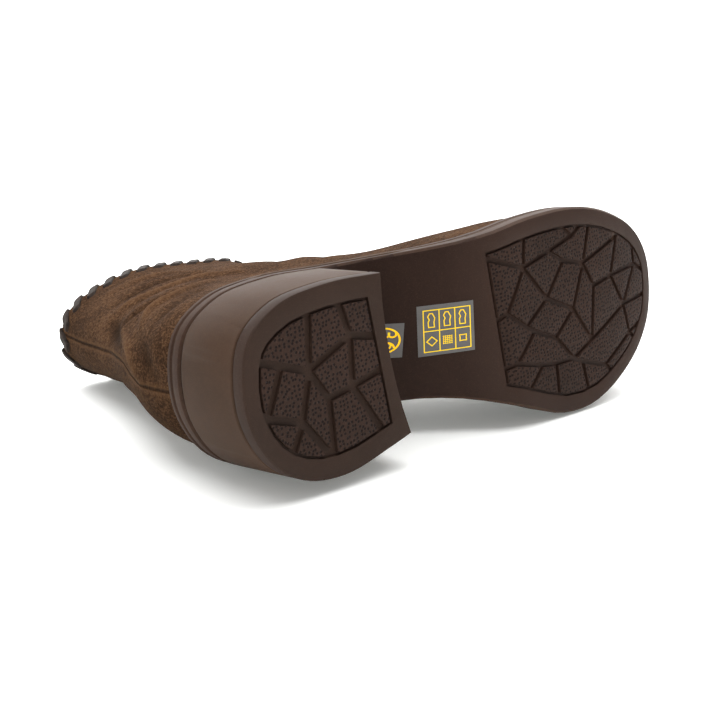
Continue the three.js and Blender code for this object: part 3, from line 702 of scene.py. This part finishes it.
def moulded(node, name, materials, sizes, tiles=False, side=False):
    """A moulded piece from its node: flats joined, tiles and side marked, edges rounded."""
    bm = standing_copy(node)
    bmesh.ops.dissolve_limit(bm, angle_limit=math.radians(0.5), verts=bm.verts, edges=bm.edges)
    bm.normal_update()
    if tiles:
        mark_tiles(bm, 1)
    if side:
        mark_side(bm, 2)
    smooth(bm)
    piece = add_piece(bm, name, materials, [node])
    bevel = piece.modifiers.new("edges", "BEVEL")
    bevel.width = sizes.edge_round
    bevel.segments = 3
    bevel.limit_method = "ANGLE"
    bevel.angle_limit = math.radians(32)
    bevel.harden_normals = True


class BOOT_OT_sole(bpy.types.Operator):
    """Makes the moulded sole unit with its pitted tread tiles"""

    bl_idname = "boot.sole"
    bl_label = "Sole unit"

    def execute(self, context):
        sizes = context.scene.boot_sizes
        finishes = [
            rubber_finish("sole_rubber", tuple(context.scene.boot_colours.sole), SOLE_DARK, 0.56),
            rubber_finish("tread_rubber", TREAD, TREAD_DARK, 0.68, pits=sizes.pit_pitch),
            # A lighter copy of the sole rubber, painted light on the sole's side
            rubber_finish("rand_painted_light", RAND, RAND_DARK, 0.55),
        ]
        moulded("sole_unit", "moulded_sole", finishes, sizes, tiles=True, side=True)
        return {"FINISHED"}


class BOOT_OT_heel(bpy.types.Operator):
    """Makes the heel block and the top piece that meets the ground"""

    bl_idname = "boot.heel"
    bl_label = "Heel"

    def execute(self, context):
        sizes = context.scene.boot_sizes
        colour = tuple(context.scene.boot_colours.heel)
        satin = rubber_finish("heel_rubber", colour, HEEL_DARK, 0.55, gloss=0.1)
        moulded("heel_block", "heel_wall", [satin], sizes)
        finishes = [
            rubber_finish("top_piece_rubber", TOP_PIECE, TOP_PIECE_DARK, 0.58),
            bpy.data.materials["tread_rubber"],
        ]
        moulded("heel_top_piece", "top_piece", finishes, sizes, tiles=True)
        return {"FINISHED"}


class BOOT_OT_insole(bpy.types.Operator):
    """Gives the insole board its covering"""

    bl_idname = "boot.insole"
    bl_label = "Insole"

    def execute(self, context):
        board = frame["nodes"]["insole"]
        board.data.materials.clear()
        board.data.materials.append(plain_finish("insole_cover", INSOLE, INSOLE_DARK, 0.8))
        return {"FINISHED"}


class BOOT_OT_lace(bpy.types.Operator):
    """Makes the flat lace whipstitched round the rim"""

    bl_idname = "boot.lace"
    bl_label = "Rim lace"

    def execute(self, context):
        bm = standing_copy("collar_lace")
        quads(bm, 60)
        corner = math.radians(35)
        edges = [edge for edge in bm.edges if edge.is_manifold and edge.calc_face_angle() > corner]
        bmesh.ops.bevel(bm, geom=edges, offset=LACE_EDGE, offset_type="OFFSET", segments=1, profile=0.5,
                        affect="EDGES", material=-1)
        bm = subdivided(bm, 2)
        self.lay_on_suede(bm, context.scene.boot_sizes.lace_stand)
        smooth(bm)
        leather = lace_finish(context.scene.boot_colours)
        add_piece(bm, "rim_lace", [leather], ["collar_lace"])
        return {"FINISHED"}

    def lay_on_suede(self, bm, stand):
        """Lays the lace's inner face on the suede, and brings its outer face nearer."""
        skin = piece_tree("suede_upper")
        bm.normal_update()
        for vert in bm.verts:
            swelled = vert.co + vert.normal * LACE_SWELL
            near = skin.find_nearest(swelled)[0]
            under = vert.normal.dot(near - vert.co) > 0
            vert.co = near.lerp(swelled, 0 if under else stand)


def sole_side_run(tree, share, count):
    """Points round the sole at a share of its side's height, by rays that pass below the heel seat."""
    points = []
    for i in range(count):
        angle = math.tau * i / count
        aim = Vector((math.cos(angle), math.sin(angle), 0))
        height = SIDE_START
        for _ in range(SIDE_TRIES):
            hit = tree.ray_cast(SOLE_MIDDLE + aim * RAY_ASIDE + UP * height, -aim)[0]
            if hit is None:
                break
            inside = Vector((hit.x, hit.y, 0)) - aim * SIDE_DEPTH
            low = tree.ray_cast(inside - UP * RAY_BELOW, UP)[0]
            high = tree.ray_cast(inside + UP * RAY_BELOW, -UP)[0]
            height = low.z + (high.z - low.z) * share
        if hit is not None:
            points.append(Vector((hit.x, hit.y, height)))
    return points


class BOOT_OT_rand_bead(bpy.types.Operator):
    """Makes the fine bead round the sole's side, hidden inside the rubber in front of the heel"""

    bl_idname = "boot.rand_bead"
    bl_label = "Rand bead"

    def execute(self, context):
        points = sole_side_run(node_tree("sole_unit"), BEAD_HEIGHT, BEAD_POINTS)
        bm = bmesh.new()
        rings = [self.add_ring(bm, points, i) for i in range(len(points))]
        for ring, following in zip(rings, rings[1:] + rings[:1]):
            bmesh.ops.bridge_loops(bm, edges=ring + following)
        bmesh.ops.recalc_face_normals(bm, faces=bm.faces)
        smooth(bm)
        # Painted highlight: the bead is lighter than the rand
        bead = rubber_finish("bead_painted_highlight", BEAD, BEAD_DARK, 0.5)
        add_piece(bm, "rand_bead", [bead])
        return {"FINISHED"}

    def add_ring(self, bm, points, i):
        """Adds a ring across the run of points at one of them, and gives its edges."""
        along = (points[(i + 1) % len(points)] - points[i - 1]).normalized()
        place = Matrix.Translation(points[i]) @ along.to_track_quat("Z", "Y").to_matrix().to_4x4()
        made = bmesh.ops.create_circle(bm, segments=BEAD_SIDES, radius=BEAD_RADIUS, matrix=place)["verts"]
        return list({edge for vert in made for edge in vert.link_edges})


class Sticker:
    """A sticker's own square, from 0 to 1 each way, laid on the underside of the waist."""

    def __init__(self, tree, corners):
        self.tree = tree
        self.corners = [Vector((x, y, 0)) * MM for x, y in corners]

    def lay(self, bm, lift):
        """Moves a flat mesh from the square to a height over the rubber."""
        a, b, c, d = self.corners
        for vert in bm.verts:
            plan = a.lerp(b, vert.co.x).lerp(d.lerp(c, vert.co.x), vert.co.y)
            hit, normal, _, _ = self.tree.ray_cast(plan - UP * RAY_BELOW, UP)
            vert.co = hit + normal * lift


def add_stroke(bm, points, width, closed=False):
    """Flat strips along a run of points in a sticker's square."""
    ends = points[1:] + (points[:1] if closed else [])
    for start, end in zip(points, ends):
        start, end = Vector((*start, 0)), Vector((*end, 0))
        run = end - start
        place = (Matrix.Translation((start + end) / 2) @ Matrix.Rotation(math.atan2(run.y, run.x), 4, "Z")
                 @ Matrix.Diagonal((run.length + width * 0.8, width, 1, 1)))
        bmesh.ops.create_grid(bm, x_segments=STROKE_STEPS, y_segments=1, size=0.5, matrix=place)


def around(centre, radius, turn):
    """The point at a radius from a centre; the angle is in turns."""
    angle = math.tau * turn
    return (centre[0] + radius * math.cos(angle), centre[1] + radius * math.sin(angle))


def arc(centre, radius, start, end, count):
    """Points on an arc; angles are in turns."""
    return [around(centre, radius, start + (end - start) * i / count) for i in range(count + 1)]


def picture_print(bm):
    """A frame of six cells: three plain soles above, and a diamond, a weave and a star below."""
    line = PICTURE_LINE
    left, right, top, bottom = PRINT_FRAME
    middle = (top + bottom) / 2
    third = (right - left) / 3
    columns = [left + (i + 0.5) * third for i in range(3)]
    add_stroke(bm, [(left, top), (right, top), (right, bottom), (left, bottom)], line, closed=True)
    add_stroke(bm, [(left, middle), (right, middle)], line)
    for i in (1, 2):
        add_stroke(bm, [(left + i * third, top), (left + i * third, bottom)], line)
    y = (top + middle) / 2
    for x in columns:
        add_stroke(bm, [(x + across, y + down) for across, down in SOLE_SIGN], line, closed=True)
    y = (middle + bottom) / 2
    diamond, weave, star = columns
    add_stroke(bm, arc((diamond, y), DIAMOND_REACH, 0.5, 1.25, 3), line, closed=True)
    for i in range(5):
        offset = (i - 2) * WEAVE_STEP
        add_stroke(bm, [(weave - WEAVE_REACH, y + offset), (weave + WEAVE_REACH, y + offset)], line * 0.6)
        add_stroke(bm, [(weave + offset, y - WEAVE_REACH), (weave + offset, y + WEAVE_REACH)], line * 0.6)
    add_stroke(bm, [around((star, y), STAR_REACH[i % 2], i / 8) for i in range(8)], line, closed=True)


def size_print(bm):
    """A plain size number in a ring, turned sideways."""
    add_stroke(bm, arc(RING_MIDDLE, RING_RADIUS, 0, 1, 36), SIZE_LINE)
    for x in THREE_ACROSS:
        add_stroke(bm, arc((x, THREE_DOWN), FIGURE_RADIUS, -0.08, 0.58, 10), SIZE_LINE)
    add_stroke(bm, arc(SIX_MIDDLE, FIGURE_RADIUS, 0, 1, 14), SIZE_LINE)
    tail = (SIX_MIDDLE[0], SIX_MIDDLE[1] + FIGURE_RADIUS * 0.9)
    add_stroke(bm, arc(tail, FIGURE_RADIUS * 1.9, -0.25, -0.02, 7), SIZE_LINE)


class BOOT_OT_stickers(bpy.types.Operator):
    """Makes the two stickers under the waist, with generic print"""

    bl_idname = "boot.stickers"
    bl_label = "Stickers"

    def execute(self, context):
        tree = node_tree("sole_unit")
        film = plain_finish("sticker_film", FILM, FILM_DARK, 0.45)
        # Painted light: the ink glows though it is no lamp
        ink = plain_finish("sticker_ink", INK, INK_DARK, 0.55, glow=0.35)
        self.add_sticker("picture", Sticker(tree, PICTURE_STICKER), picture_print, film, ink)
        self.add_sticker("size", Sticker(tree, SIZE_STICKER), size_print, film, ink)
        return {"FINISHED"}

    def add_sticker(self, name, sticker, draw, film, ink):
        """Adds a sticker's film and the print on it."""
        bm = bmesh.new()
        bmesh.ops.create_grid(bm, x_segments=STICKER_STEPS, y_segments=STICKER_STEPS, size=0.5,
                              matrix=Matrix.Translation((0.5, 0.5, 0)))
        sticker.lay(bm, FILM_LIFT)
        self.thicken(bm, FILM_DEPTH)
        add_piece(bm, f"{name}_sticker", [film])
        bm = bmesh.new()
        draw(bm)
        sticker.lay(bm, PRINT_LIFT)
        self.thicken(bm, PRINT_DEPTH)
        add_piece(bm, f"{name}_print", [ink])

    def thicken(self, bm, depth):
        """Gives a flat mesh a thickness, with its face to the ground."""
        bm.normal_update()
        if sum(face.normal.z for face in bm.faces) > 0:
            bmesh.ops.reverse_faces(bm, faces=bm.faces)
        bmesh.ops.solidify(bm, geom=bm.faces, thickness=depth)


def add_sheet(name, half, place, finish):
    """Adds a flat square sheet at a place."""
    bm = bmesh.new()
    bmesh.ops.create_grid(bm, x_segments=1, y_segments=1, size=half, matrix=place)
    return to_object(bm, name, [finish])


class BOOT_OT_stage(bpy.types.Operator):
    """Makes the floor, the backdrop, the soft light and the camera"""

    bl_idname = "boot.stage"
    bl_label = "Stage"

    def execute(self, context):
        self.add_camera(context)
        self.add_floor()
        self.add_backdrop()
        for name, place, side, power in LIGHTS:
            self.add_light(context, name, place, side, power)
        world = context.scene.world or bpy.data.worlds.new("studio")
        context.scene.world = world
        world.use_nodes = True
        background = world.node_tree.nodes["Background"]
        background.inputs["Color"].default_value = WHITE
        background.inputs["Strength"].default_value = WORLD_STRENGTH
        context.scene.view_settings.view_transform = "Standard"
        return {"FINISHED"}

    def add_camera(self, context):
        """Places the camera as the picture was taken, in the standing boot's frame."""
        data = bpy.data.cameras.new("camera")
        data.sensor_width = SENSOR
        data.lens = SENSOR * FOCAL_PIXELS / PICTURE_SIDE
        camera = bpy.data.objects.new("camera", data)
        context.scene.collection.objects.link(camera)
        right = CAMERA_RIGHT.normalized()
        up = -CAMERA_DOWN.normalized()
        back = right.cross(up).normalized()
        pose = Matrix((right, back.cross(right), back)).transposed().to_4x4()
        camera.matrix_world = LAY_DOWN @ Matrix.Translation(CAMERA_PLACE) @ pose
        context.scene.camera = camera

    def add_floor(self):
        """Lays a wide pale floor at the height that the boot lies on."""
        pale = Finish("pale_floor").finish(Base_Color=FLOOR_PALE, Roughness=0.9,
                                           Emission_Color=FLOOR_GLOW, Emission_Strength=0.16)
        floor = add_sheet("floor", FLOOR_HALF, Matrix(), pale)

    def add_backdrop(self):
        """Stands a bright sheet across the view behind the boot."""
        glow = Finish("backdrop_glow").finish(Base_Color=WHITE, Roughness=1.0, Emission_Color=WHITE,
                                              Emission_Strength=1.0)
        turn = Matrix((BACKDROP_ALONG, UP, BACKDROP_ALONG.cross(UP))).transposed().to_4x4()
        place = Matrix.Translation(BACKDROP_MIDDLE) @ turn @ Matrix.Diagonal((BACKDROP_STRETCH, 1, 1, 1))
        backdrop = add_sheet("backdrop", BACKDROP_HALF, place, glow)

    def add_light(self, context, name, place, side, power):
        """Hangs a square soft light that shines at the boot."""
        data = bpy.data.lights.new(name, "AREA")
        data.shape = "SQUARE"
        data.size = side
        data.energy = power
        light = bpy.data.objects.new(name, data)
        light.location = place
        light.rotation_euler = (-place).to_track_quat("-Z", "Y").to_euler()
        context.scene.collection.objects.link(light)


class BOOT_PT_panel(bpy.types.Panel):
    """Lists the boot's sizes, colours and pieces in the sidebar"""

    bl_label = "Ankle boot"
    bl_idname = "BOOT_PT_panel"
    bl_space_type = "VIEW_3D"
    bl_region_type = "UI"
    bl_category = "Boot"

    def draw(self, context):
        for group in (context.scene.boot_sizes, context.scene.boot_colours):
            for key in group.__annotations__:
                self.layout.prop(group, key)
        for operator in OPERATORS:
            self.layout.operator(operator.bl_idname)


OPERATORS = (
    BOOT_OT_stage, BOOT_OT_upper, BOOT_OT_sole, BOOT_OT_heel, BOOT_OT_insole, BOOT_OT_lace,
    BOOT_OT_rand_bead, BOOT_OT_stickers,
)
CLASSES = (BootSizes, BootColours, *OPERATORS, BOOT_PT_panel)


def register():
    for cls in CLASSES:
        bpy.utils.register_class(cls)
    bpy.types.Scene.boot_sizes = PointerProperty(type=BootSizes)
    bpy.types.Scene.boot_colours = PointerProperty(type=BootColours)


def unregister():
    del bpy.types.Scene.boot_colours
    del bpy.types.Scene.boot_sizes
    for cls in reversed(CLASSES):
        bpy.utils.unregister_class(cls)


def main():
    register()
    for operator in OPERATORS:
        group, name = operator.bl_idname.split(".")
        getattr(getattr(bpy.ops, group), name)()


if __name__ == "__main__":
    main()
